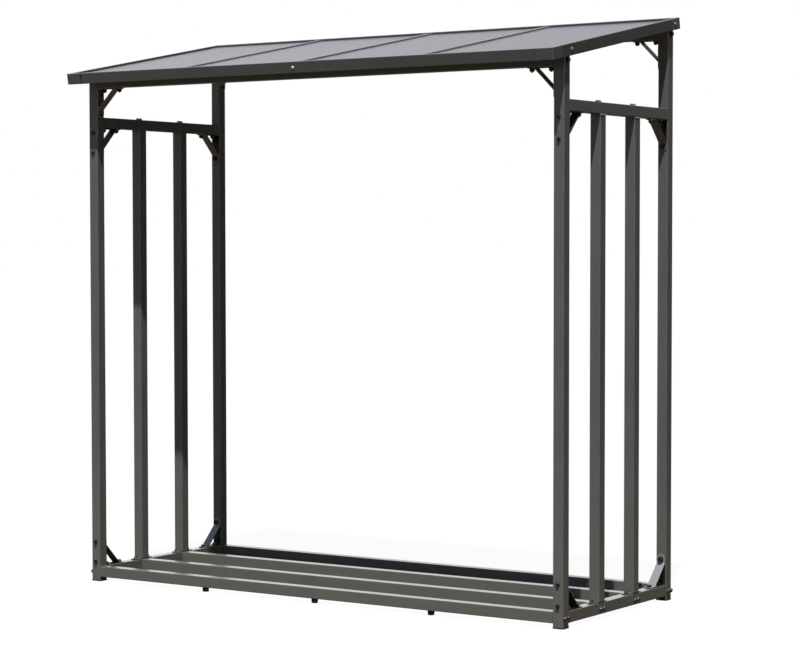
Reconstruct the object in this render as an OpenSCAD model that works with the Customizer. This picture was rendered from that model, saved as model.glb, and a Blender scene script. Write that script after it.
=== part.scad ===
// Open log store: a steel tube frame with slatted sides, a rail floor and a sloping sheet roof.
// Millimetres. +X runs along the length, +Y to the back, +Z up. The origin is on the ground,
// in the middle of the outline seen from above.

/* [Overall] */
// length over the outer faces of the posts
base_length = 1820; // [1200:10:2400]
// depth over the outer faces of the posts
base_depth = 700; // [500:10:1000]
// overhang of the roof in front of the posts
front_overhang = 96.2; // [40:0.1:300]
// height of the front top edge of the roof
front_height = 1700; // [1400:10:2000]
// height of the back top edge of the roof
back_height = 1850; // [1550:10:2200]

/* [Tubes] */
// side of the square tube of posts, rails, bars and beams
tube = 35; // [25:1:50]
// wall of the tubes
tube_wall = 1; // [0.8:0.1:3]
// radius of the outer tube edges
tube_round = 2; // [1:0.5:4]
// clearance from the ground to the floor rails
rail_clear = 15; // [5:1:40]
// drop from the front top edge of the roof to the top of the upper side rails
side_rail_drop = 140; // [120:5:600]

/* [Bars] */
// length of the foot plate of a bar
bar_plate_length = 96; // [70:1:150]
// width of the foot plate of a bar
bar_plate_width = 30; // [20:1:35]
// thickness of the foot plate and of the top cap of a bar
bar_plate = 3; // [1.5:0.5:6]

/* [Braces] */
// length of a brace leg from the corner
brace_leg = 98; // [80:1:160]
// width of a brace
brace_width = 29; // [18:1:35]
// thickness of the brace strip
brace_strip = 3; // [2:0.5:6]
// distance from the corner to the ends of the brace strap
brace_reach = 70; // [40:1:80]

/* [Roof] */
// height of the fascia
fascia_height = 36; // [33:1:80]
// thickness of the fascia, which is also the overhang at each side
fascia = 15; // [10:1:30]
// wall of the fascia tube
fascia_wall = 1; // [0.8:0.1:3]
// length of the fascia corner pieces
corner_leg = 60; // [40:1:120]
// radius of the upright outer edge of the corner pieces
corner_round = 4; // [1:0.5:7]
// length of the spigots of the corner pieces inside the fascia tubes
spigot = 25; // [10:1:60]
// wall of the spigots
spigot_wall = 1.5; // [1:0.1:2.5]
// depth of the roof sheets below the top of the fascia
sheet_recess = 6; // [3:0.5:8]
// thickness of the roof sheets
sheet = 0.6; // [0.5:0.1:2]
// depth of the folded sheet edges
sheet_fold = 14; // [6:1:20]
// width of a rafter
rafter_width = 25; // [15:1:50]
// height of a rafter
rafter_height = 20; // [15:1:26]
// wall of the rafter tube
rafter_wall = 1; // [0.8:0.1:2]
// width of a seam cap at its foot
cap_width = 24; // [15:1:40]
// height of a seam cap
cap_height = 4; // [3:0.5:12]
// wall of a seam cap
cap_wall = 0.8; // [0.5:0.1:1.5]
// lean of the seam cap sides
cap_lean = 2; // [1:0.5:6]

/* [Feet] */
// thickness of the flange of a post foot
foot_base = 4; // [2:0.5:6]
// overhang of the flange beyond the post
foot_lip = 0.8; // [0.2:0.1:3]
// height of the plug of a post foot inside the post
foot_plug = 16; // [8:1:40]
// wall of the plug
plug_wall = 2; // [1:0.5:4]
// diameter of the rail feet
rail_foot = 22; // [12:1:34]
// taper of the rail feet
rail_foot_taper = 2; // [1:0.5:4]

/* [Fits] */
// gap that shows between the corner pieces and the fascia tubes
corner_seam = 1.5; // [0.3:0.1:3]
// gap between spigots and fascia tubes, and between plugs and posts
slide_gap = 0.2; // [0.1:0.1:0.6]
// gap between the back fascia and the back posts
fascia_gap = 0.3; // [0.1:0.1:2]
// gap between rafters and beams, and between folded edges and rafters
seat_gap = 0.2; // [0.1:0.1:1]
// gap between the post tops and the roof sheets
post_gap = 4; // [1:0.5:8]

/* [Hidden] */
rise = back_height - front_height;
lean_gap = fascia_gap - min(0, fascia_height * sin(atan(rise / (base_depth + front_overhang))));
run = base_depth + front_overhang + lean_gap;
slope = pitch(8, atan(rise / run));
roof_depth = fascia + run / cos(slope);
lean = fascia_height * sin(slope);
roof_front = -(roof_depth * cos(slope) + abs(lean)) / 2 - min(0, lean);
base_front = roof_front + front_overhang;
base_back = base_front + base_depth;
half_length = base_length / 2;
roof_half = half_length + fascia;
inner_half = half_length - tube;
front_inner = base_front + tube;
back_inner = base_back - tube;
inner_depth = back_inner - front_inner;
rail_top = rail_clear + tube;
side_rail_low = front_height - side_rail_drop - tube;
bar_pitch = (inner_depth + tube) / 3;
rail_pitch = (base_depth - tube) / 3;
sheet_low = sheet_recess + sheet;
bay_width = 2 * half_length / 4;
fascia_inner = roof_depth - fascia;
fascia_start = corner_leg + corner_seam;
foot_span = 2 * inner_half / 4;
round_fn = 48;
least_round = 0.2;

// slope of the roof plane from its rise, its run and the thickness of the back fascia
function pitch(steps, angle) = steps == 0 ? angle : pitch(steps - 1, atan((rise - fascia * sin(angle)) / run));
// underside of the roof sheets over the lower edge of a tube that starts at y
function sheet_under(y) = front_height + (y + (rise < 0 ? tube : 0) - roof_front) * tan(slope) - sheet_low / cos(slope);
function beam_top(y) = sheet_under(y) - (rafter_height + seat_gap) / cos(slope);

// cross section of a tube with rounded outer edges, one corner at the origin
module rounded(w, h, r) {
    translate([r, 0]) square([w - 2 * r, h]);
    translate([0, r]) square([w, h - 2 * r]);
    for (x = [r, w - r]) for (y = [r, h - r]) translate([x, y]) circle(r = r, $fn = round_fn);
}

module section(w, h, wall) {
    difference() {
        rounded(w, h, tube_round);
        translate([wall, wall]) rounded(w - 2 * wall, h - 2 * wall, max(tube_round - wall, least_round));
    }
}

// square tubes along X, Y and Z from the lowest corner
module tube_z(length) {
    linear_extrude(height = length) section(tube, tube, tube_wall);
}

module tube_x(length) {
    multmatrix([[0, 0, 1, 0], [1, 0, 0, 0], [0, 1, 0, 0]]) tube_z(length);
}

module tube_y(length) {
    multmatrix([[0, 1, 0, 0], [0, 0, 1, 0], [1, 0, 0, 0]]) tube_z(length);
}

// one corner post; side is -1 at the left and 1 at the right
module post(side, y, top) {
    x = side > 0 ? inner_half : -half_length;
    color([0.22, 0.23, 0.23]) translate([x, y, foot_base]) tube_z(top - foot_base);
}

module front_left_post() {
    post(-1, base_front, sheet_under(base_front) - post_gap);
}

module front_right_post() {
    post(1, base_front, sheet_under(base_front) - post_gap);
}

module back_left_post() {
    post(-1, back_inner, sheet_under(back_inner) - post_gap);
}

module back_right_post() {
    post(1, back_inner, sheet_under(back_inner) - post_gap);
}

// one long floor rail; i counts from the front
module floor_rail(i) {
    color([0.25, 0.26, 0.26]) translate([-inner_half, base_front + i * rail_pitch, rail_clear]) tube_x(2 * inner_half);
}

module front_floor_rail() {
    floor_rail(0);
}

module inner_front_floor_rail() {
    floor_rail(1);
}

module inner_back_floor_rail() {
    floor_rail(2);
}

module back_floor_rail() {
    floor_rail(3);
}

// one rail between the front and back post of a side
module side_rail(side, low) {
    x = side > 0 ? inner_half : -half_length;
    color([0.24, 0.25, 0.25]) translate([x, front_inner, low]) tube_y(inner_depth);
}

module left_floor_side_rail() {
    side_rail(-1, rail_clear);
}

module right_floor_side_rail() {
    side_rail(1, rail_clear);
}

module left_upper_rail() {
    side_rail(-1, side_rail_low);
}

module right_upper_rail() {
    side_rail(1, side_rail_low);
}

// one upright bar with a round ended foot plate and a closed top; i counts from the front
module bar(side, i) {
    x = side > 0 ? inner_half : -half_length;
    color([0.23, 0.24, 0.24]) translate([x, base_front + (i + 1) * bar_pitch, rail_top]) {
        translate([tube / 2, tube / 2, 0]) linear_extrude(height = bar_plate) bar_foot();
        translate([0, 0, bar_plate]) tube_z(side_rail_low - rail_top - 2 * bar_plate);
        translate([0, 0, side_rail_low - rail_top - bar_plate]) linear_extrude(height = bar_plate) rounded(tube, tube, tube_round);
    }
}

module bar_foot() {
    straight = bar_plate_length - bar_plate_width;
    square([bar_plate_width, straight], center = true);
    for (y = [-straight / 2, straight / 2]) translate([0, y]) circle(d = bar_plate_width, $fn = round_fn);
    translate([-tube / 2, -tube / 2]) rounded(tube, tube, tube_round);
}

module left_front_bar() {
    bar(-1, 0);
}

module left_back_bar() {
    bar(-1, 1);
}

module right_front_bar() {
    bar(1, 0);
}

module right_back_bar() {
    bar(1, 1);
}

// one beam between the two front or back posts
module beam(y) {
    color([0.23, 0.22, 0.21]) translate([-inner_half, y, beam_top(y) - tube]) tube_x(2 * inner_half);
}

module front_beam() {
    beam(base_front);
}

module back_beam() {
    beam(back_inner);
}

// the roof's own frame: X along the length, Y up the slope, Z square to the sheets
module on_roof() {
    translate([0, roof_front, front_height]) rotate([slope, 0, 0]) children();
}

// a profile of the fascia drawn out along X or up the slope
module along_x(length) {
    multmatrix([[0, 0, 1, 0], [1, 0, 0, 0], [0, 1, 0, 0]]) linear_extrude(height = length) children();
}

module along_y(length) {
    rotate([90, 0, 180]) linear_extrude(height = length) mirror([1, 0]) children();
}

// outline of the fascia with its top outer edge at the roof's top plane, shrunk by inset
module fascia_outline(inset) {
    translate([inset, inset - fascia_height]) {
        rounded(fascia - 2 * inset, fascia_height - 2 * inset, max(tube_round - inset, least_round));
    }
}

module fascia_section() {
    difference() {
        fascia_outline(0);
        fascia_outline(fascia_wall);
    }
}

module fascia_x(length) {
    along_x(length) fascia_section();
}

module fascia_y(length) {
    along_y(length) fascia_section();
}

module front_fascia() {
    color([0.2, 0.2, 0.19]) on_roof() translate([fascia_start - roof_half, 0, 0]) fascia_x(2 * (roof_half - fascia_start));
}

module back_fascia() {
    color([0.2, 0.2, 0.19]) on_roof() translate([fascia_start - roof_half, fascia_inner, 0]) fascia_x(2 * (roof_half - fascia_start));
}

module left_fascia() {
    color([0.2, 0.2, 0.19]) on_roof() translate([-roof_half, fascia_start, 0]) fascia_y(roof_depth - 2 * fascia_start);
}

module right_fascia() {
    color([0.2, 0.2, 0.19]) on_roof() translate([half_length, fascia_start, 0]) fascia_y(roof_depth - 2 * fascia_start);
}

// corner piece of the fascia at the front left, mirrored for the other three: a hollow angle
// with its upright edge rounded, and a spigot for each fascia tube
module fascia_corner() {
    hollow_start = max(corner_round, fascia_wall);
    difference() {
        intersection() {
            union() {
                along_x(corner_leg) fascia_outline(0);
                along_y(corner_leg) fascia_outline(0);
            }
            along_x(corner_leg) edge_outline();
            along_y(corner_leg) edge_outline();
            translate([0, 0, -fascia_height]) linear_extrude(height = fascia_height) corner_plan();
        }
        translate([hollow_start, 0, 0]) along_x(corner_leg) fascia_outline(fascia_wall);
        translate([0, hollow_start, 0]) along_y(corner_leg) fascia_outline(fascia_wall);
    }
    translate([corner_leg - spigot, 0, 0]) along_x(spigot) spigot_section(fascia_wall);
    translate([corner_leg, 0, 0]) along_x(corner_seam + spigot) spigot_section(fascia_wall + slide_gap);
    translate([0, corner_leg - spigot, 0]) along_y(spigot) spigot_section(fascia_wall);
    translate([0, corner_leg, 0]) along_y(corner_seam + spigot) spigot_section(fascia_wall + slide_gap);
}

module spigot_section(inset) {
    difference() {
        fascia_outline(inset);
        fascia_outline(fascia_wall + slide_gap + spigot_wall);
    }
}

// band with the fascia's rounded top and bottom edge, wider than a corner piece
module edge_outline() {
    translate([0, -fascia_height]) rounded(corner_leg + fascia, fascia_height, tube_round);
}

module corner_plan() {
    translate([corner_round, corner_round]) circle(r = corner_round, $fn = round_fn);
    translate([corner_round, 0]) square([corner_leg - corner_round, corner_leg]);
    translate([0, corner_round]) square([corner_leg, corner_leg - corner_round]);
}

module fascia_corners() {
    color([0.19, 0.19, 0.18]) on_roof() {
        translate([-roof_half, 0, 0]) fascia_corner();
        translate([roof_half, 0, 0]) mirror([1, 0, 0]) fascia_corner();
        translate([-roof_half, roof_depth, 0]) mirror([0, 1, 0]) fascia_corner();
        translate([roof_half, roof_depth, 0]) rotate([0, 0, 180]) fascia_corner();
    }
}

// rafter under a seam, between the front and back fascia; i counts from the left
module rafter(i) {
    color([0.3, 0.3, 0.3]) on_roof() translate([(i - 1) * bay_width - rafter_width / 2, fascia, -sheet_low - rafter_height]) {
        rotate([90, 0, 180]) linear_extrude(height = fascia_inner - fascia) difference() {
            translate([-rafter_width, 0]) square([rafter_width, rafter_height]);
            translate([rafter_wall - rafter_width, rafter_wall]) square([rafter_width - 2 * rafter_wall, rafter_height - 2 * rafter_wall]);
        }
    }
}

module left_rafter() {
    rafter(0);
}

module middle_rafter() {
    rafter(1);
}

module right_rafter() {
    rafter(2);
}

// roof sheet with its front and back edges folded down between the rafters; i counts from the left
module roof_sheet(i) {
    edge = rafter_width / 2 + seat_gap;
    left = i == 0 ? 0 : edge;
    right = i == 3 ? 0 : edge;
    color([0.4, 0.4, 0.43]) on_roof() translate([(i - 2) * bay_width, fascia, -sheet_low]) {
        cube([bay_width, fascia_inner - fascia, sheet]);
        for (y = [0, fascia_inner - fascia - sheet]) {
            translate([left, y, sheet - sheet_fold]) cube([bay_width - left - right, sheet, sheet_fold]);
        }
    }
}

module left_roof_sheet() {
    roof_sheet(0);
}

module inner_left_roof_sheet() {
    roof_sheet(1);
}

module inner_right_roof_sheet() {
    roof_sheet(2);
}

module right_roof_sheet() {
    roof_sheet(3);
}

// raised cap over a seam: a folded strip that leans in at both sides
module seam_cap() {
    half = cap_width / 2;
    rotate([90, 0, 180]) linear_extrude(height = fascia_inner - fascia) difference() {
        polygon([[-half, 0], [half, 0], [half - cap_lean, cap_height], [cap_lean - half, cap_height]]);
        polygon([[cap_wall - half, 0], [half - cap_wall, 0], [half - cap_lean - cap_wall, cap_height - cap_wall],
            [cap_lean + cap_wall - half, cap_height - cap_wall]]);
    }
}

module seam_caps() {
    color([0.17, 0.17, 0.18]) on_roof() {
        for (i = [-1:1]) translate([i * bay_width, fascia, -sheet_recess]) seam_cap();
    }
}

// corner brace with one leg along +X, one along +Z and a strap across, centred on Y
module brace() {
    brace_plate();
    mirror([1, 0, -1]) brace_plate();
    rotate([90, 0, 0]) linear_extrude(height = brace_width, center = true) polygon([[brace_reach, brace_strip],
        [brace_strip, brace_reach], [brace_strip, brace_reach - brace_strip * sqrt(2)],
        [brace_reach - brace_strip * sqrt(2), brace_strip]]);
}

module brace_plate() {
    straight = brace_leg - brace_width / 2;
    linear_extrude(height = brace_strip) {
        translate([0, -brace_width / 2]) square([straight, brace_width]);
        translate([straight, 0]) circle(d = brace_width, $fn = round_fn);
    }
}

// brace under a beam, against the inner face of a post
module top_brace(side, y) {
    color([0.16, 0.16, 0.17]) translate([side * inner_half, y + tube / 2, beam_top(y) - tube]) {
        mirror([side > 0 ? 1 : 0, 0, 0]) mirror([0, 0, 1]) brace();
    }
}

module front_left_top_brace() {
    top_brace(-1, base_front);
}

module front_right_top_brace() {
    top_brace(1, base_front);
}

module back_left_top_brace() {
    top_brace(-1, back_inner);
}

module back_right_top_brace() {
    top_brace(1, back_inner);
}

// brace between a side rail and a post; front is true at the front post, over at the rail's top
module side_brace(side, front, over) {
    x = side * (half_length - tube / 2);
    y = front ? front_inner : back_inner;
    z = over ? rail_top : side_rail_low;
    color([0.16, 0.16, 0.17]) translate([x, y, z]) mirror([0, front ? 0 : 1, 0]) mirror([0, 0, over ? 0 : 1]) {
        rotate([0, 0, 90]) brace();
    }
}

module front_left_side_brace() {
    side_brace(-1, true, false);
}

module front_right_side_brace() {
    side_brace(1, true, false);
}

module back_left_side_brace() {
    side_brace(-1, false, false);
}

module back_right_side_brace() {
    side_brace(1, false, false);
}

module front_left_floor_brace() {
    side_brace(-1, true, true);
}

module front_right_floor_brace() {
    side_brace(1, true, true);
}

module back_left_floor_brace() {
    side_brace(-1, false, true);
}

module back_right_floor_brace() {
    side_brace(1, false, true);
}

// foot of a post: a flange with a hollow plug that slides into the tube
module post_foot() {
    flange = tube + 2 * foot_lip;
    plug = tube - 2 * tube_wall - 2 * slide_gap;
    bore = plug - 2 * plug_wall;
    translate([-flange / 2, -flange / 2, 0]) linear_extrude(height = foot_base) rounded(flange, flange, tube_round);
    translate([0, 0, foot_base]) linear_extrude(height = foot_plug) difference() {
        translate([-plug / 2, -plug / 2]) rounded(plug, plug, max(tube_round - tube_wall - slide_gap, least_round));
        square([bore, bore], center = true);
    }
}

module post_feet() {
    color([0.08, 0.08, 0.08]) {
        for (x = [tube / 2 - half_length, half_length - tube / 2]) {
            for (y = [base_front + tube / 2, base_back - tube / 2]) translate([x, y, 0]) post_foot();
        }
    }
}

module rail_feet() {
    color([0.05, 0.05, 0.05]) {
        for (i = [-1:1]) {
            for (y = [base_front + tube / 2, base_back - tube / 2]) {
                translate([i * foot_span, y, 0]) cylinder(h = rail_clear, d1 = rail_foot - rail_foot_taper, d2 = rail_foot, $fn = round_fn);
            }
        }
    }
}

front_left_post();
front_right_post();
back_left_post();
back_right_post();
front_floor_rail();
inner_front_floor_rail();
inner_back_floor_rail();
back_floor_rail();
left_floor_side_rail();
right_floor_side_rail();
left_upper_rail();
right_upper_rail();
left_front_bar();
left_back_bar();
right_front_bar();
right_back_bar();
front_beam();
back_beam();
front_fascia();
back_fascia();
left_fascia();
right_fascia();
fascia_corners();
left_rafter();
middle_rafter();
right_rafter();
left_roof_sheet();
inner_left_roof_sheet();
inner_right_roof_sheet();
right_roof_sheet();
seam_caps();
front_left_top_brace();
front_right_top_brace();
back_left_top_brace();
back_right_top_brace();
front_left_side_brace();
front_right_side_brace();
back_left_side_brace();
back_right_side_brace();
front_left_floor_brace();
front_right_floor_brace();
back_left_floor_brace();
back_right_floor_brace();
post_feet();
rail_feet();
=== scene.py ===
import math
import bpy
from mathutils import Matrix, Vector


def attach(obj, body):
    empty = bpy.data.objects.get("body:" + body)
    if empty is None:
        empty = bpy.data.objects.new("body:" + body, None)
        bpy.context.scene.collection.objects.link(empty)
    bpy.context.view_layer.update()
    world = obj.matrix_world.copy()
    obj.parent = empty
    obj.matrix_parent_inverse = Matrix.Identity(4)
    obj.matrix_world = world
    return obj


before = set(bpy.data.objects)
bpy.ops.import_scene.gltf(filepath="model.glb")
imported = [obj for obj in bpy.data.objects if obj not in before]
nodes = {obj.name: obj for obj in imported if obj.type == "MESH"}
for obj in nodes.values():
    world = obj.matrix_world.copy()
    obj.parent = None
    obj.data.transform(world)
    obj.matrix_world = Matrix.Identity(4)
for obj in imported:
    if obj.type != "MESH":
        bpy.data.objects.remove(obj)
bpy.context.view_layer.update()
scene = bpy.context.scene
scene.view_settings.view_transform = "Standard"
print("frame loaded:", len(nodes), "nodes")

# camera
camera = {
    "place": (4.28287, -6.30615, 1.1435),
    "yaw": 0.59419,  # turn to the left of straight ahead
    "pitch": 0.0441,  # downwards
    "roll": -0.00143,
    "focalPixels": 2341.91,
    "middle": (372.294, 344.776),  # where the lens axis meets the picture
    "picture": (800, 661),
    "sensor": 36,
    "farthest": 200,
}


def makeCamera(c):
    data = bpy.data.cameras.new("photoCamera")
    cam = bpy.data.objects.new("photoCamera", data)
    scene.collection.objects.link(cam)
    level = math.cos(c["pitch"])
    ahead = Vector((-math.sin(c["yaw"]) * level, math.cos(c["yaw"]) * level, -math.sin(c["pitch"])))
    side = Vector((math.cos(c["yaw"]), math.sin(c["yaw"]), 0))
    up = side.cross(ahead)
    right = math.cos(c["roll"]) * side + math.sin(c["roll"]) * up
    top = -math.sin(c["roll"]) * side + math.cos(c["roll"]) * up
    turn = Matrix((right, top, -ahead)).transposed().to_4x4()
    cam.matrix_world = Matrix.Translation(c["place"]) @ turn
    width, height = c["picture"]
    data.sensor_width = c["sensor"]
    data.lens = c["focalPixels"] * c["sensor"] / width
    data.shift_x = (width / 2 - c["middle"][0]) / width
    data.shift_y = (c["middle"][1] - height / 2) / width
    data.clip_end = c["farthest"]
    scene.camera = cam


makeCamera(camera)


# node helpers: most add a node to a tree and give back what it puts out
def fill(tree, socket, value):
    if isinstance(value, bpy.types.NodeSocket):
        tree.links.new(value, socket)
    elif socket.type == "RGBA":
        socket.default_value = (*value, 1)
    else:
        socket.default_value = value


def sums(tree, operation, first, second, clamp=False):
    node = tree.nodes.new("ShaderNodeMath")
    node.operation = operation
    node.use_clamp = clamp
    fill(tree, node.inputs[0], first)
    fill(tree, node.inputs[1], second)
    return node.outputs[0]


def plus(tree, first, second):
    return sums(tree, "ADD", first, second)


def minus(tree, first, second):
    return sums(tree, "SUBTRACT", first, second)


def times(tree, first, second):
    return sums(tree, "MULTIPLY", first, second)


def vectors(tree, operation, first, second=None):
    node = tree.nodes.new("ShaderNodeVectorMath")
    node.operation = operation
    fill(tree, node.inputs[0], first)
    if second is not None:
        fill(tree, node.inputs["Scale" if operation == "SCALE" else 1], second)
    return node.outputs["Value" if operation == "DOT_PRODUCT" else "Vector"]


def parted(tree, vector):
    node = tree.nodes.new("ShaderNodeSeparateXYZ")
    tree.links.new(vector, node.inputs[0])
    return node.outputs


def ranged(tree, value, band, limits=(0, 1), smooth=False):
    node = tree.nodes.new("ShaderNodeMapRange")
    node.interpolation_type = "SMOOTHSTEP" if smooth else "LINEAR"
    labels = ("Value", "From Min", "From Max", "To Min", "To Max")
    for label, given in zip(labels, (value, *band, *limits)):
        fill(tree, node.inputs[label], given)
    return node.outputs["Result"]


def blended(tree, factor, first, second):
    node = tree.nodes.new("ShaderNodeMix")
    node.data_type = "RGBA"
    fill(tree, node.inputs["Factor"], factor)
    fill(tree, node.inputs[6], first)  # the two colour sockets
    fill(tree, node.inputs[7], second)
    return node.outputs[2]


def noise(tree, place, scale, detail, roughness=0.5):
    node = tree.nodes.new("ShaderNodeTexNoise")
    node.inputs["Scale"].default_value = scale
    node.inputs["Detail"].default_value = detail
    node.inputs["Roughness"].default_value = roughness
    tree.links.new(place, node.inputs["Vector"])
    return node.outputs["Fac"]


def coloured(tree, kind, colour, strength):
    node = tree.nodes.new(kind)
    fill(tree, node.inputs["Color"], colour)
    fill(tree, node.inputs["Strength"], strength)
    return node.outputs[0]


def mixedShader(tree, factor, first, second):
    node = tree.nodes.new("ShaderNodeMixShader")
    for socket, value in zip(node.inputs, (factor, first, second)):
        tree.links.new(value, socket)
    return node.outputs[0]


def objectPlace(tree):
    return tree.nodes.new("ShaderNodeTexCoord").outputs["Object"]


def newMaterial(name):
    mat = bpy.data.materials.new(name)
    mat.use_nodes = True
    mat.node_tree.nodes.clear()
    return mat, mat.node_tree


def newGroup(name, inputs, outputs):
    tree = bpy.data.node_groups.new(name, "ShaderNodeTree")
    for way, labels in (("INPUT", inputs), ("OUTPUT", outputs)):
        for label, kind in labels.items():
            tree.interface.new_socket(label, in_out=way, socket_type="NodeSocket" + kind)
    return tree, tree.nodes.new("NodeGroupInput").outputs, tree.nodes.new("NodeGroupOutput").inputs


# light and floor
light = {
    "sunAim": (-0.19, 0.419, -1.0),
    "sunStrength": 5.7,
    "sunAngle": math.radians(0.8),
    "sunColour": (1.0, 0.99, 0.975),
    "skyStrength": 0.4,
    "skyColour": (0.61, 0.86, 1.34),
    "flagColour": (0.36, 0.36, 0.31),  # dark warm screen on the right
    "flagBand": (0.1, 0.75),  # share of the way to the right where it takes over
    "mirrorFlagBand": (0.0, 0.45),  # the same for gloss
    "mirrorColour": (0.93, 0.96, 1.0),
    "hazeColour": (1.03, 0.99, 0.94),  # what gloss sees low in the sky
    "hazeBand": (0.12, 0.3),
    "zenithColour": (0.2, 0.24, 0.36),  # what gloss sees overhead
    "zenithBand": (0.35, 0.75),
    "mirrorLow": 0.03,  # what gloss sees at the horizon
    "mirrorHigh": 1.13,  # what gloss sees higher up
    "mirrorBand": (0.08, 0.16),  # sine of the heights between them
    "mirrorDrop": 0.08,  # how much lower the band lies at the back
    "mirrorDropBand": (-0.2, 0.4),  # from front to back
    "mirrorFade": (-0.63, -0.47),  # from left to right, where gloss dims
    "mirrorFaded": 0.88,
    "stripAim": (0.93, -0.37, 0.05),  # narrow light that only gloss on edges sees
    "stripBand": (0.9, 0.97),
    "stripStrength": 7.0,
    "floorReach": 60,
    "floorPale": (0.8, 0.79, 0.77),  # as seen by the camera
    "floorBounce": (0.24, 0.172, 0.114),  # as it lights the object
    "floorMirror": (0.05, 0.042, 0.036),  # as gloss sees it
    "floorUnder": (1.0, 0.42),  # half sizes of the darker floor below the object
    "floorUnderEdge": (0.9, 1.15),  # its soft edge, as shares of the half sizes
    "floorUnderShare": 0.55,
    "floorRight": (1.1, 1.4),  # where the floor darkens to the right
    "floorRightShare": 0.45,
    "floorShadow": 0.045,  # how much of the shadow shows on the pale floor
}
white = (1, 1, 1)


def makeSun(c):
    sun = bpy.data.lights.new("sun", "SUN")
    sun.energy = c["sunStrength"]
    sun.angle = c["sunAngle"]
    sun.color = c["sunColour"]
    lamp = bpy.data.objects.new("sun", sun)
    scene.collection.objects.link(lamp)
    lamp.rotation_euler = Vector(c["sunAim"]).to_track_quat("-Z", "Y").to_euler()


def makeSky(c):
    world = bpy.data.worlds.new("studio")
    scene.world = world
    world.use_nodes = True
    tree = world.node_tree
    tree.nodes.clear()
    aim = tree.nodes.new("ShaderNodeTexCoord").outputs["Generated"]
    x, y, z = parted(tree, aim)
    # matt faces see a blue sky with a dark screen on the right
    hue = blended(tree, ranged(tree, x, c["flagBand"]), c["skyColour"], c["flagColour"])
    soft = coloured(tree, "ShaderNodeBackground", hue, c["skyStrength"])
    # gloss sees a dark horizon, haze above it and a dark zenith
    haze = blended(tree, ranged(tree, z, c["hazeBand"]), c["hazeColour"], c["mirrorColour"])
    vault = blended(tree, ranged(tree, z, c["zenithBand"]), haze, c["zenithColour"])
    lifted = plus(tree, z, ranged(tree, y, c["mirrorDropBand"], (0, c["mirrorDrop"])))
    rise = ranged(tree, lifted, c["mirrorBand"], (c["mirrorLow"], c["mirrorHigh"]), smooth=True)
    dimmed = times(tree, rise, ranged(tree, x, c["mirrorFade"], (1, c["mirrorFaded"])))
    screen = tree.nodes.new("ShaderNodeMix")
    fill(tree, screen.inputs["Factor"], ranged(tree, x, c["mirrorFlagBand"]))
    fill(tree, screen.inputs["A"], dimmed)
    fill(tree, screen.inputs["B"], c["mirrorLow"])
    near = vectors(tree, "DOT_PRODUCT", aim, Vector(c["stripAim"]).normalized())
    strip = ranged(tree, near, c["stripBand"], (0, c["stripStrength"]), smooth=True)
    strength = plus(tree, screen.outputs["Result"], strip)
    mirror = coloured(tree, "ShaderNodeBackground", vault, strength)
    # the camera sees plain white
    path = tree.nodes.new("ShaderNodeLightPath").outputs
    lit = mixedShader(tree, path["Is Glossy Ray"], soft, mirror)
    plain = coloured(tree, "ShaderNodeBackground", white, 1)
    seen = mixedShader(tree, path["Is Camera Ray"], lit, plain)
    tree.links.new(seen, tree.nodes.new("ShaderNodeOutputWorld").inputs["Surface"])


def makeFloor(c):
    r = c["floorReach"]
    mesh = bpy.data.meshes.new("floor")
    mesh.from_pydata([(-r, -r, 0), (r, -r, 0), (r, r, 0), (-r, r, 0)], [], [(0, 1, 2, 3)])
    floor = bpy.data.objects.new("floor", mesh)
    scene.collection.objects.link(floor)
    mat, tree = newMaterial("paleFloor")
    place = objectPlace(tree)
    path = tree.nodes.new("ShaderNodeLightPath").outputs
    # darker below the object and to the right
    spread = vectors(tree, "ABSOLUTE", vectors(tree, "DIVIDE", place, (*c["floorUnder"], 1)))
    x, y = parted(tree, spread)[:2]
    farther = sums(tree, "MAXIMUM", x, y)
    under = ranged(tree, farther, c["floorUnderEdge"], (c["floorUnderShare"], 1))
    beside = ranged(tree, parted(tree, place)["X"], c["floorRight"], (1, c["floorRightShare"]))
    dull = blended(tree, path["Is Glossy Ray"], c["floorBounce"], c["floorMirror"])
    shaded = vectors(tree, "SCALE", dull, times(tree, under, beside))
    matt = tree.nodes.new("ShaderNodeBsdfDiffuse")
    fill(tree, matt.inputs["Color"], blended(tree, path["Is Camera Ray"], shaded, c["floorPale"]))
    # the camera sees it nearly white, with some of the shadow
    glow = coloured(tree, "ShaderNodeEmission", white, 1)
    share = times(tree, path["Is Camera Ray"], 1 - c["floorShadow"])
    seen = mixedShader(tree, share, matt.outputs[0], glow)
    tree.links.new(seen, tree.nodes.new("ShaderNodeOutputMaterial").inputs["Surface"])
    mesh.materials.append(mat)


makeSun(light)
makeSky(light)
makeFloor(light)
print("camera, light and floor made")


# places and sizes of the frame's pieces
def pointsOf(name):
    obj = nodes[name]
    return [obj.matrix_world @ v.co for v in obj.data.vertices]


def boxOf(name):
    pts = pointsOf(name)
    low = Vector([min(p[i] for p in pts) for i in range(3)])
    high = Vector([max(p[i] for p in pts) for i in range(3)])
    return low, high, (low + high) / 2


def faceX(box, way):
    return box[1].x if way > 0 else box[0].x


def faceY(box, way):
    return box[1].y if way > 0 else box[0].y


sides = {"left": -1, "right": 1}
ends = {"front": -1, "back": 1}
posts = {(e, s): boxOf(f"{e}_{s}_post") for e in ends for s in sides}
bars = {(s, e): boxOf(f"{s}_{e}_bar") for s in sides for e in ends}
beams = {e: boxOf(f"{e}_beam") for e in ends}
upperRails = {s: boxOf(f"{s}_upper_rail") for s in sides}
floorSides = {s: boxOf(f"{s}_floor_side_rail") for s in sides}
floorTop = floorSides["right"][1].z
braceHoles = (0.018, 0.083)  # from the corner that the brace sits in
stripThick = 0.003  # braces and foot plates

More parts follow.
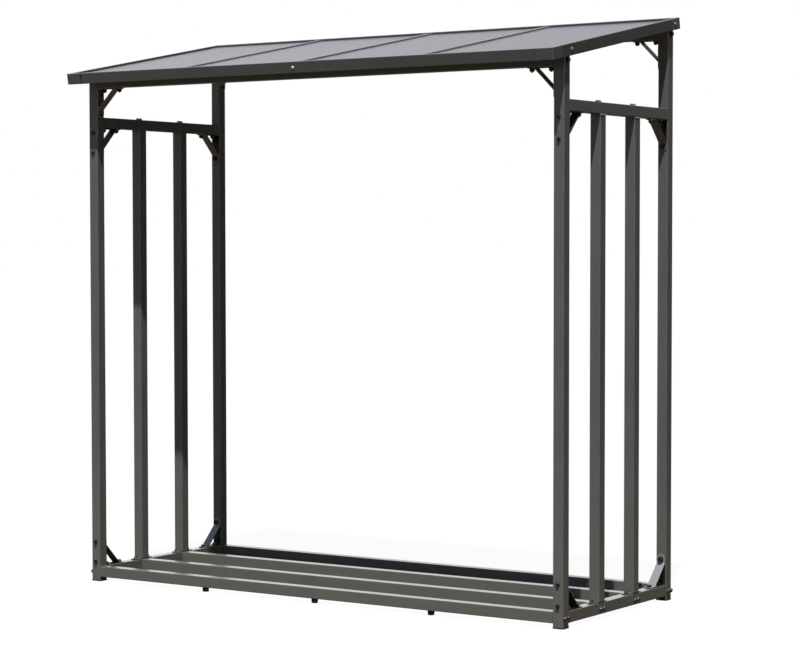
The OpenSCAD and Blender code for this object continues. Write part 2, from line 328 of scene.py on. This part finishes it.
# the roof's slope, from a side of its border
sidePoints = pointsOf("left_fascia")
lowEnd = min(sidePoints, key=lambda p: p.y)
highEnd = max(sidePoints, key=lambda p: p.z)
slope = math.atan2(highEnd.z - lowEnd.z, highEnd.y - lowEnd.y)
upSlope = Vector((0, math.cos(slope), math.sin(slope)))
roofNormal = Vector((0, -math.sin(slope), math.cos(slope)))
alongSide = [p.dot(upSlope) for p in sidePoints]

# powder coat
coatPattern = {
    "cloud": {"scale": 7, "detail": 4},
    "cloudBand": (0.3, 0.7),
    "dustingAndBounce": {"scale": 18, "detail": 6, "roughness": 0.65},
    "dustingAndBounceFall": 2,  # power by which it thins out with height
    "shadeBelowTone": 0.08,
    "grain": {"scale": 900, "detail": 2},
}


# node group: cloudy tone, dust and painted bounce light low down, painted shade below a height and grain
# for the bump
def makeCoatGroup(c):
    inputs = {
        "Colour": "Color", "Cloud": "Float", "Dusting And Bounce": "Float", "Dusting And Bounce Colour": "Color",
        "Dusting And Bounce Height": "Float", "Roughness": "Float", "Shade Below": "Float",
    }
    outputs = {"Colour": "Color", "Roughness": "Float", "Grain": "Float"}
    tree, given, made = newGroup("coatTone", inputs, outputs)
    place = objectPlace(tree)
    height = parted(tree, place)["Z"]
    limits = (minus(tree, 1, given["Cloud"]), plus(tree, 1, given["Cloud"]))
    cloud = ranged(tree, noise(tree, place, **c["cloud"]), c["cloudBand"], limits)
    tone = vectors(tree, "SCALE", given["Colour"], cloud)
    # lighter, warmer patches towards the ground: partly dust, partly painted bounce light from the ground
    fade = sums(tree, "DIVIDE", height, given["Dusting And Bounce Height"])
    fall = sums(tree, "POWER", sums(tree, "SUBTRACT", 1, fade, clamp=True), c["dustingAndBounceFall"])
    patches = times(tree, fall, noise(tree, place, **c["dustingAndBounce"]))
    share = sums(tree, "MULTIPLY", patches, given["Dusting And Bounce"], clamp=True)
    dustingAndBounceTone = blended(tree, share, tone, given["Dusting And Bounce Colour"])
    # painted shade below the given height, for the shadowed edges of the plates on the floor side rails
    above = sums(tree, "GREATER_THAN", height, given["Shade Below"])
    shade = ranged(tree, above, (0, 1), (c["shadeBelowTone"], 1))
    fill(tree, made["Colour"], vectors(tree, "SCALE", dustingAndBounceTone, shade))
    fill(tree, made["Roughness"], times(tree, cloud, given["Roughness"]))
    fill(tree, made["Grain"], noise(tree, place, **c["grain"]))
    return tree


# node group: painted shade inside the corner that a brace spans, measured from the post and the rail
def makeCornerShadeGroup():
    inputs = {
        "Colour": "Color", "Shade Colour": "Color",
        "Middle": "Vector", "Half Size": "Vector", "Reach": "Float",
    }
    tree, given, made = newGroup("cornerShadeGroup", inputs, {"Colour": "Color"})
    away = vectors(tree, "SUBTRACT", objectPlace(tree), given["Middle"])
    left = vectors(tree, "SUBTRACT", given["Half Size"], vectors(tree, "ABSOLUTE", away))
    inside = sums(tree, "LESS_THAN", vectors(tree, "DOT_PRODUCT", left, (0, 1, 1)), given["Reach"])
    fill(tree, made["Colour"], blended(tree, inside, given["Colour"], given["Shade Colour"]))
    return tree


coatTone = makeCoatGroup(coatPattern)
cornerShadeGroup = makeCornerShadeGroup()

# finishes
seamReach = 0.0035  # how far the painted seam shade goes past the fascia tubes' ends
seam = {
    "paint": (0.003, 0.003, 0.003),
    "across": boxOf("front_fascia")[1].x + seamReach,
    "along": (min(alongSide) - seamReach, max(alongSide) + seamReach),
}
railLow, railHigh, railMiddle = upperRails["right"]
# painted shade in the corners that the floor and side braces span
cornerShade = {
    "Shade Colour": (0.02, 0.018, 0.016),
    "Middle": (0, railMiddle.y, (floorTop + railLow.z) / 2),
    "Half Size": (0, (railHigh.y - railLow.y) / 2, (railLow.z - floorTop) / 2),
    "Reach": 0.0715,  # between the two faces of the strap
}
sheen = {"blend": 0.5, "band": (0.55, 0.8), "roughness": 0.3, "ior": 2.3}  # gloss at low angles only
rimLight = 0.0002  # how much of the top of the plate edges on the floor side rails stays unshaded; painted shade lies below
plateEdge = floorTop + stripThick - rimLight
usual = {
    "roughness": 0.5,
    "cloud": 0.05,
    "dustingAndBounce": 0.0,
    "dustingAndBounceColour": (0.127, 0.116, 0.092),
    "dustingAndBounceHeight": 0.8,
    "shadeBelow": 0.0,
    "ior": 1.5,
    "metal": 0.0,
    "grain": 0.00002,
    "bump": 0.25,
}
tube = {
    "colour": (0.086, 0.093, 0.09), "roughness": 0.3, "dustingAndBounce": 1.1, "ior": 1.4, "grain": 0.00003,
    "sheen": sheen,
}
brace = {"cloud": 0.06, "ior": 1.3, "metal": 0.3, "grain": 0.00004}
border = {"roughness": 0.28, "ior": 1.45, "grain": 0.00004}
plastic = {"cloud": 0.1, "ior": 1.4, "grain": 0.0001}
finishes = {
    "anthraciteCoat": tube,
    "braceCoat": {
        **brace, "colour": (0.21, 0.21, 0.214), "roughness": 0.42, "dustingAndBounce": 0.1, "ior": 1.5, "metal": 0.15,
        "shadeBelow": plateEdge, "cornerShade": cornerShade,
    },
    # darker copies of the brace coat: painted shade for the top and side braces, which stand in the
    # roof's shade
    "topBraceShadedCoat": {**brace, "colour": (0.155, 0.152, 0.13)},
    "upperBraceShadedCoat": {**brace, "colour": (0.125, 0.123, 0.107), "cornerShade": cornerShade},
    "barCoat": {**tube, "shadeBelow": plateEdge},
    # a darker copy of the border coat: painted shade on the side borders
    "sideFasciaShadedCoat": {**border, "colour": (0.047, 0.054, 0.048), "ior": 1.42},
    "fasciaCoat": {**border, "colour": (0.064, 0.068, 0.066)},
    "cornerCoat": {**border, "colour": (0.07, 0.073, 0.073), "seam": seam},
    "sheetCoat": {
        "colour": (0.06, 0.061, 0.07), "roughness": 0.27, "cloud": 0.015, "ior": 1.27, "grain": 0.000002,
    },
    "footPlastic": {**plastic, "colour": (0.014, 0.013, 0.012), "dustingAndBounce": 0.2},
    "padRubber": {**plastic, "colour": (0.01, 0.01, 0.01), "roughness": 0.6, "dustingAndBounce": 0.1},
    "boltGrey": {"colour": (0.045, 0.045, 0.043), "roughness": 0.4},
    "boltBlack": {"colour": (0.015, 0.015, 0.015), "roughness": 0.22, "cloud": 0.08},
    # the front and back screws light partly as a painted highlight where they face the sun; the side
    # screws a darker copy as painted shade
    "screwLitSteel": {"colour": (0.8, 0.8, 0.79), "roughness": 0.3, "metal": 0.4},
    "screwShadedGrey": {"colour": (0.13, 0.13, 0.13)},
    # light grey as a painted highlight on the sunlit outer rims of the bar caps
    "lipHighlightGrey": {"colour": (0.3, 0.3, 0.29), "roughness": 0.35},
    "knobBlack": {
        "colour": (0.012, 0.012, 0.013), "roughness": 0.4, "cloud": 0.08, "ior": 1.4, "grain": 0.00005,
    },
}


# painted shade in the gaps between the fascia tubes' ends, on the left only, so that the joints there
# read as seams
def seamShade(tree, c, colour):
    place = objectPlace(tree)
    width = parted(tree, vectors(tree, "ABSOLUTE", place))["X"]
    along = vectors(tree, "DOT_PRODUCT", place, upSlope)
    low, high = c["along"]
    above = sums(tree, "GREATER_THAN", along, low)
    below = sums(tree, "LESS_THAN", along, high)
    inside = sums(tree, "LESS_THAN", width, c["across"])
    painted = sums(tree, "MAXIMUM", inside, times(tree, above, below))
    onLeft = sums(tree, "LESS_THAN", parted(tree, place)["X"], 0)
    return blended(tree, times(tree, painted, onLeft), colour, c["paint"])


def placed(tree, group, values):
    node = tree.nodes.new("ShaderNodeGroup")
    node.node_tree = group
    for label, value in values.items():
        fill(tree, node.inputs[label], value)
    return node.outputs


def makeFinish(name, own):
    c = {**usual, **own}
    mat, tree = newMaterial(name)
    skin = tree.nodes.new("ShaderNodeBsdfPrincipled")
    skin.inputs["IOR"].default_value = c["ior"]
    skin.inputs["Metallic"].default_value = c["metal"]
    if "sheen" in c:
        facing = tree.nodes.new("ShaderNodeLayerWeight")
        facing.inputs["Blend"].default_value = c["sheen"]["blend"]
        weight = ranged(tree, facing.outputs["Facing"], c["sheen"]["band"], smooth=True)
        tree.links.new(weight, skin.inputs["Coat Weight"])
        skin.inputs["Coat Roughness"].default_value = c["sheen"]["roughness"]
        skin.inputs["Coat IOR"].default_value = c["sheen"]["ior"]
    coat = placed(tree, coatTone, {
        "Colour": c["colour"], "Cloud": c["cloud"], "Dusting And Bounce": c["dustingAndBounce"], "Dusting And Bounce Colour": c["dustingAndBounceColour"],
        "Dusting And Bounce Height": c["dustingAndBounceHeight"], "Roughness": c["roughness"], "Shade Below": c["shadeBelow"],
    })
    colour = coat["Colour"]
    if "seam" in c:
        colour = seamShade(tree, c["seam"], colour)
    if "cornerShade" in c:
        colour = placed(tree, cornerShadeGroup, {"Colour": colour, **c["cornerShade"]})["Colour"]
    bump = tree.nodes.new("ShaderNodeBump")
    bump.inputs["Strength"].default_value = c["bump"]
    bump.inputs["Distance"].default_value = c["grain"]
    tree.links.new(coat["Grain"], bump.inputs["Height"])
    tree.links.new(colour, skin.inputs["Base Color"])
    tree.links.new(coat["Roughness"], skin.inputs["Roughness"])
    tree.links.new(bump.outputs["Normal"], skin.inputs["Normal"])
    tree.links.new(skin.outputs[0], tree.nodes.new("ShaderNodeOutputMaterial").inputs["Surface"])
    return mat


mats = {name: makeFinish(name, own) for name, own in finishes.items()}


def finishFor(node):
    if node == "post_feet":
        return "footPlastic"
    if node == "rail_feet":
        return "padRubber"
    if node.endswith("_roof_sheet") or node == "seam_caps":
        return "sheetCoat"
    if node == "fascia_corners":
        return "cornerCoat"
    if node in ("left_fascia", "right_fascia"):
        return "sideFasciaShadedCoat"
    if node.endswith("_fascia") or node.endswith("_rafter"):
        return "fasciaCoat"
    if node.endswith("_bar"):
        return "barCoat"
    if node.endswith("_top_brace"):
        return "topBraceShadedCoat"
    if node.endswith("_side_brace"):
        return "upperBraceShadedCoat"
    if node.endswith("_brace"):
        return "braceCoat"
    return "anthraciteCoat"


for name, obj in nodes.items():
    mat = mats[finishFor(name)]
    if not obj.material_slots:
        obj.data.materials.append(mat)
    for slot in obj.material_slots:
        slot.material = mat
print("finishes placed on", len(nodes), "nodes")

# Geometry Nodes: heads of one kind on points, each turned to its point's axis
headShape = {
    "hexCrown": 0.18,  # share of a hexagon head's height that is chamfered
    "hexTopRadius": 0.47,  # by the width across flats
    "hexTopDepth": 0.1,  # by the head's height
    "roundSteps": (0.35, 0.65, 0.87),  # heights of a quarter round from the rim to the crown
    "roundStepDepth": 0.04,
    "chanceTurn": math.pi / 3,
    "sharpAngle": math.radians(28),
}
cornerCounts = {"hexagon": 6, "hexTop": 24, "thread": 16, "rod": 20, "round": 28}


def newTree(name, sizes):
    tree = bpy.data.node_groups.new(name, "GeometryNodeTree")
    face = tree.interface
    face.new_socket("Geometry", in_out="INPUT", socket_type="NodeSocketGeometry")
    for label in sizes:
        face.new_socket(label, in_out="INPUT", socket_type="NodeSocketFloat")
    face.new_socket("Seed", in_out="INPUT", socket_type="NodeSocketInt")
    face.new_socket("Material", in_out="INPUT", socket_type="NodeSocketMaterial")
    face.new_socket("Geometry", in_out="OUTPUT", socket_type="NodeSocketGeometry")
    return tree, tree.nodes.new("NodeGroupInput").outputs


def disc(tree, corners, radius, depth, bottom):
    drum = tree.nodes.new("GeometryNodeMeshCylinder")
    drum.inputs["Vertices"].default_value = cornerCounts[corners]
    fill(tree, drum.inputs["Radius"], radius)
    fill(tree, drum.inputs["Depth"], depth)
    lift = tree.nodes.new("ShaderNodeCombineXYZ")
    tree.links.new(plus(tree, bottom, times(tree, depth, 0.5)), lift.inputs["Z"])
    move = tree.nodes.new("GeometryNodeTransform")
    tree.links.new(drum.outputs["Mesh"], move.inputs["Geometry"])
    tree.links.new(lift.outputs[0], move.inputs["Translation"])
    return move.outputs[0]


def joined(tree, parts):
    node = tree.nodes.new("GeometryNodeJoinGeometry")
    for part in parts:
        tree.links.new(part, node.inputs[0])
    return node.outputs[0]


def hullOf(tree, parts):
    node = tree.nodes.new("GeometryNodeConvexHull")
    tree.links.new(joined(tree, parts), node.inputs[0])
    return node.outputs[0]


def washerRing(tree, given):
    return disc(tree, "round", times(tree, given["Washer Width"], 0.5), given["Washer"], 0.0)


def scatter(tree, given, head):
    link = tree.links
    axis = tree.nodes.new("GeometryNodeInputNamedAttribute")
    axis.data_type = "FLOAT_VECTOR"
    axis.inputs["Name"].default_value = "axis"
    aim = tree.nodes.new("FunctionNodeAlignRotationToVector")
    aim.axis = "Z"
    link.new(axis.outputs[0], aim.inputs["Vector"])
    chance = tree.nodes.new("FunctionNodeRandomValue")
    chance.data_type = "FLOAT"
    chance.inputs[2].default_value = 0  # least and most of the plain number
    chance.inputs[3].default_value = headShape["chanceTurn"]
    link.new(given["Seed"], chance.inputs["Seed"])
    spin = tree.nodes.new("FunctionNodeAxisAngleToRotation")
    spin.inputs["Axis"].default_value = (0, 0, 1)
    link.new(chance.outputs[1], spin.inputs["Angle"])
    turn = tree.nodes.new("FunctionNodeRotateRotation")
    turn.rotation_space = "LOCAL"
    link.new(aim.outputs[0], turn.inputs["Rotation"])
    link.new(spin.outputs[0], turn.inputs["Rotate By"])
    place = tree.nodes.new("GeometryNodeInstanceOnPoints")
    link.new(given["Geometry"], place.inputs["Points"])
    link.new(head, place.inputs["Instance"])
    link.new(turn.outputs[0], place.inputs["Rotation"])
    real = tree.nodes.new("GeometryNodeRealizeInstances")
    link.new(place.outputs[0], real.inputs[0])
    paint = tree.nodes.new("GeometryNodeSetMaterial")
    link.new(real.outputs[0], paint.inputs["Geometry"])
    link.new(given["Material"], paint.inputs["Material"])
    link.new(paint.outputs[0], tree.nodes.new("NodeGroupOutput").inputs[0])


# hexagon head with a chamfered crown on a washer, with a thread end for a nut
def makeHexTree(c):
    sizes = ("Across Flats", "Head Height", "Washer Width", "Washer", "Thread Width", "Thread Proud")
    tree, given = newTree("hexHeads", sizes)
    flats, tall, washer = given["Across Flats"], given["Head Height"], given["Washer"]
    bodyDepth = minus(tree, tall, times(tree, tall, c["hexCrown"]))
    body = disc(tree, "hexagon", sums(tree, "DIVIDE", flats, math.sqrt(3)), bodyDepth, washer)
    topStart = plus(tree, washer, times(tree, tall, 1 - c["hexTopDepth"]))
    topDepth = times(tree, tall, c["hexTopDepth"])
    top = disc(tree, "hexTop", times(tree, flats, c["hexTopRadius"]), topDepth, topStart)
    threadDepth = plus(tree, tall, given["Thread Proud"])
    thread = disc(tree, "thread", times(tree, given["Thread Width"], 0.5), threadDepth, washer)
    scatter(tree, given, joined(tree, [hullOf(tree, [body, top]), washerRing(tree, given), thread]))
    return tree


# round head: a rim, a shoulder and a smaller crown under one hull, on a washer
def makeRoundTree(c):
    sizes = ("Head Width", "Head Height", "Rim", "Crown Width", "Washer Width", "Washer")
    tree, given = newTree("roundHeads", sizes)
    wide, rim, crown, washer = given["Head Width"], given["Rim"], given["Crown Width"], given["Washer"]
    rise = minus(tree, given["Head Height"], rim)
    shoulder = plus(tree, washer, rim)
    stepDepth = times(tree, rise, c["roundStepDepth"])
    parts = [disc(tree, "round", times(tree, wide, 0.5), rim, washer)]
    for share in c["roundSteps"]:
        inward = 1 - math.sqrt(1 - share * share)
        width = minus(tree, wide, times(tree, minus(tree, wide, crown), inward))
        start = plus(tree, shoulder, times(tree, rise, share - c["roundStepDepth"]))
        parts.append(disc(tree, "round", times(tree, width, 0.5), stepDepth, start))
    crownStart = plus(tree, shoulder, times(tree, rise, 1 - c["roundStepDepth"]))
    parts.append(disc(tree, "round", times(tree, crown, 0.5), stepDepth, crownStart))
    scatter(tree, given, joined(tree, [hullOf(tree, parts), washerRing(tree, given)]))
    return tree


# plain rod along its point's axis
def makeRodTree():
    tree, given = newTree("rods", ("Width", "Length"))
    radius, start = times(tree, given["Width"], 0.5), times(tree, given["Length"], -0.5)
    scatter(tree, given, disc(tree, "rod", radius, given["Length"], start))
    return tree


hexTree = makeHexTree(headShape)
rodTree = makeRodTree()
roundTree = makeRoundTree(headShape)


def addHeads(name, tree, c, spots):
    mesh = bpy.data.meshes.new(name + "Spots")
    mesh.from_pydata([p for p, a in spots], [], [])
    axes = mesh.attributes.new("axis", "FLOAT_VECTOR", "POINT")
    axes.data.foreach_set("vector", [v for p, a in spots for v in a])
    maker = bpy.data.objects.new(name + "Spots", mesh)
    scene.collection.objects.link(maker)
    mod = maker.modifiers.new("heads", "NODES")
    mod.node_group = tree
    values = dict(c["sizes"], Seed=c["seed"], Material=mats[c["finish"]])
    for item in tree.interface.items_tree:
        if item.in_out == "INPUT" and item.name in values:
            mod[item.identifier] = values[item.name]
    bpy.context.view_layer.update()
    made = bpy.data.meshes.new_from_object(maker.evaluated_get(bpy.context.evaluated_depsgraph_get()))
    made.name = name
    made.shade_smooth()
    made.set_sharp_from_angle(angle=headShape["sharpAngle"])
    piece = bpy.data.objects.new(name, made)
    scene.collection.objects.link(piece)
    bpy.data.objects.remove(maker)
    bpy.data.meshes.remove(mesh)
    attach(piece, "root")
    print(name, len(spots), "heads,", len(made.polygons), "faces")


# bolts through the posts that hold the side and floor braces
postBolts = {
    "sizes": {
        "Across Flats": 0.0105, "Head Height": 0.0055,
        "Washer Width": 0.0125, "Washer": 0.001,
        "Thread Width": 0.004, "Thread Proud": 0.0,
    },
    "seed": 3,
    "finish": "boltBlack",
}
spots = []
for (e, s), box in posts.items():
    upper, floor = upperRails[s][0].z, floorSides[s][1].z
    for z in [upper - h for h in braceHoles] + [floor + h for h in braceHoles]:
        spots.append(((box[2].x, faceY(box, ends[e]), z), (0, ends[e], 0)))
addHeads("postBolts", hexTree, postBolts, spots)

# nuts on the legs of the braces
braceNuts = {
    "sizes": {
        "Across Flats": 0.014, "Head Height": 0.008,
        "Washer Width": 0.018, "Washer": 0.0015,
        "Thread Width": 0.008, "Thread Proud": 0.003,
    },
    "seed": 5,
    "finish": "boltBlack",
}
spots = []
for (e, s), box in posts.items():
    innerX, innerY = faceX(box, -sides[s]), faceY(box, -ends[e])
    legY = innerY - ends[e] * stripThick
    middle = box[2]
    under = beams[e][0].z - stripThick
    upper, floor = upperRails[s][0].z, floorSides[s][1].z
    for h in braceHoles:
        spots.append(((innerX - sides[s] * h, middle.y, under), (0, 0, -1)))
        spots.append(((middle.x, legY, upper - h), (0, -ends[e], 0)))
        spots.append(((middle.x, innerY - ends[e] * h, upper - stripThick), (0, 0, -1)))
        spots.append(((middle.x, legY, floor + h), (0, -ends[e], 0)))
addHeads("braceNuts", hexTree, braceNuts, spots)

# low heads on the post legs of the top braces
lowHeads = {
    "sizes": {
        "Head Width": 0.013, "Head Height": 0.0035, "Rim": 0.001, "Crown Width": 0.007,
        "Washer Width": 0.016, "Washer": 0.001,
    },
    "seed": 7,
    "finish": "boltBlack",
}
spots = []
for (e, s), box in posts.items():
    legX = faceX(box, -sides[s]) - sides[s] * stripThick
    for h in braceHoles:
        spots.append(((legX, box[2].y, beams[e][0].z - h), (-sides[s], 0, 0)))
addHeads("lowHeads", roundTree, lowHeads, spots)

# flat bolt heads on the rail legs of the floor braces
legBolts = {
    "sizes": {
        "Across Flats": 0.0135, "Head Height": 0.006,
        "Washer Width": 0.017, "Washer": 0.001,
        "Thread Width": 0.005, "Thread Proud": 0.0,
    },
    "seed": 6,
    "finish": "knobBlack",
}
spots = []
for (e, s), box in posts.items():
    innerY = faceY(box, -ends[e])
    for h in braceHoles:
        spots.append(((box[2].x, innerY - ends[e] * h, floorSides[s][1].z + stripThick), (0, 0, 1)))
addHeads("legBolts", hexTree, legBolts, spots)

# pairs of bolts that hold the floor rails from outside
floorBolts = {
    "sizes": {
        "Across Flats": 0.0115, "Head Height": 0.006,
        "Washer Width": 0.014, "Washer": 0.0012,
        "Thread Width": 0.003, "Thread Proud": 0.0,
    },
    "seed": 8,
    "finish": "boltGrey",
    "apart": 0.02,
    "height": 0.031,
}
spots = []
railMiddles = [boxOf(f"{n}_floor_rail")[2].y for n in ("front", "inner_front", "inner_back", "back")]
for s in sides:
    outer = faceX(posts["front", s], sides[s])
    for y in railMiddles:
        for step in (-0.5, 0.5):
            spot = (outer, y + step * floorBolts["apart"], floorBolts["height"])
            spots.append((spot, (sides[s], 0, 0)))
addHeads("floorBolts", hexTree, floorBolts, spots)

# pairs of screws on the upper rails over the bars
railScrews = {
    "sizes": {
        "Head Width": 0.011, "Head Height": 0.0056, "Rim": 0.0032, "Crown Width": 0.006,
        "Washer Width": 0.013, "Washer": 0.001,
    },
    "seed": 11,
    "finish": "anthraciteCoat",
    "apart": 0.015,
}
spots = []
for (s, e), box in bars.items():
    for step in (-0.5, 0.5):
        spot = (box[2].x, box[2].y + step * railScrews["apart"], upperRails[s][1].z)
        spots.append((spot, (0, 0, 1)))
addHeads("railScrews", roundTree, railScrews, spots)

# lips of the bar caps on the outer sides, under the upper rails, light grey as a painted highlight of the
# sunlit rims
barLipHighlights = {
    "sizes": {"Width": 0.0032, "Length": 0.031},
    "seed": 12,
    "finish": "lipHighlightGrey",
    "drop": 0.0022,
}
spots = []
for (s, e), box in bars.items():
    spots.append(((faceX(box, sides[s]), box[2].y, upperRails[s][0].z - barLipHighlights["drop"]), (0, 1, 0)))
addHeads("barLipHighlights", rodTree, barLipHighlights, spots)

# bolts in the foot plates of the bars
plateBolts = {
    "sizes": {
        "Across Flats": 0.01, "Head Height": 0.005,
        "Washer Width": 0.014, "Washer": 0.0012,
        "Thread Width": 0.003, "Thread Proud": 0.0,
    },
    "seed": 13,
    "finish": "boltBlack",
    "reach": 0.033,
}
spots = []
for (s, e), box in bars.items():
    for step in (-1, 1):
        spot = (box[2].x, box[2].y + step * plateBolts["reach"], floorSides[s][1].z + stripThick)
        spots.append((spot, (0, 0, 1)))
addHeads("plateBolts", hexTree, plateBolts, spots)

# black cap nuts on the posts beside the beams
beamKnobs = {
    "sizes": {
        "Head Width": 0.014, "Head Height": 0.0085, "Rim": 0.003, "Crown Width": 0.004,
        "Washer Width": 0.018, "Washer": 0.0015,
    },
    "seed": 17,
    "finish": "knobBlack",
}
spots = []
for (e, s), box in posts.items():
    spots.append(((faceX(box, sides[s]), box[2].y, beams[e][2].z), (sides[s], 0, 0)))
addHeads("beamKnobs", roundTree, beamKnobs, spots)

# bright screws in the middle of the front and back border, their light colour partly a painted highlight
# where they face the sun
fasciaScrews = {
    "sizes": {
        "Head Width": 0.009, "Head Height": 0.0026, "Rim": 0.0005, "Crown Width": 0.0045,
        "Washer Width": 0.009, "Washer": 0.0003,
    },
    "seed": 19,
    "finish": "screwLitSteel",
    "drop": 0.018,
}
heights = [p.dot(roofNormal) for p in sidePoints]
fasciaTop, fasciaMiddle = max(heights), (max(heights) + min(heights)) / 2
spots = []
for e in ends:
    run = [p.dot(upSlope) for p in pointsOf(f"{e}_fascia")]
    edge = min(run) if e == "front" else max(run)
    spots.append((upSlope * edge + roofNormal * (fasciaTop - fasciaScrews["drop"]), upSlope * ends[e]))
addHeads("fasciaScrews", roundTree, fasciaScrews, spots)

# grey screws in the border at the sides, darker than the front ones as painted shade
sideScrews = {
    "sizes": {
        "Head Width": 0.0128, "Head Height": 0.0042, "Rim": 0.0008, "Crown Width": 0.005,
        "Washer Width": 0.0128, "Washer": 0.0003,
    },
    "seed": 23,
    "finish": "screwShadedGrey",
}
spots = []
for s in sides:
    outer = faceX(boxOf(f"{s}_fascia"), sides[s])
    for e in ends:
        along = (posts[e, s][2].y - fasciaMiddle * roofNormal.y) / upSlope.y
        spot = upSlope * along + roofNormal * fasciaMiddle
        spots.append(((outer, spot.y, spot.z), (sides[s], 0, 0)))
addHeads("sideScrews", roundTree, sideScrews, spots)
print("fasteners placed")
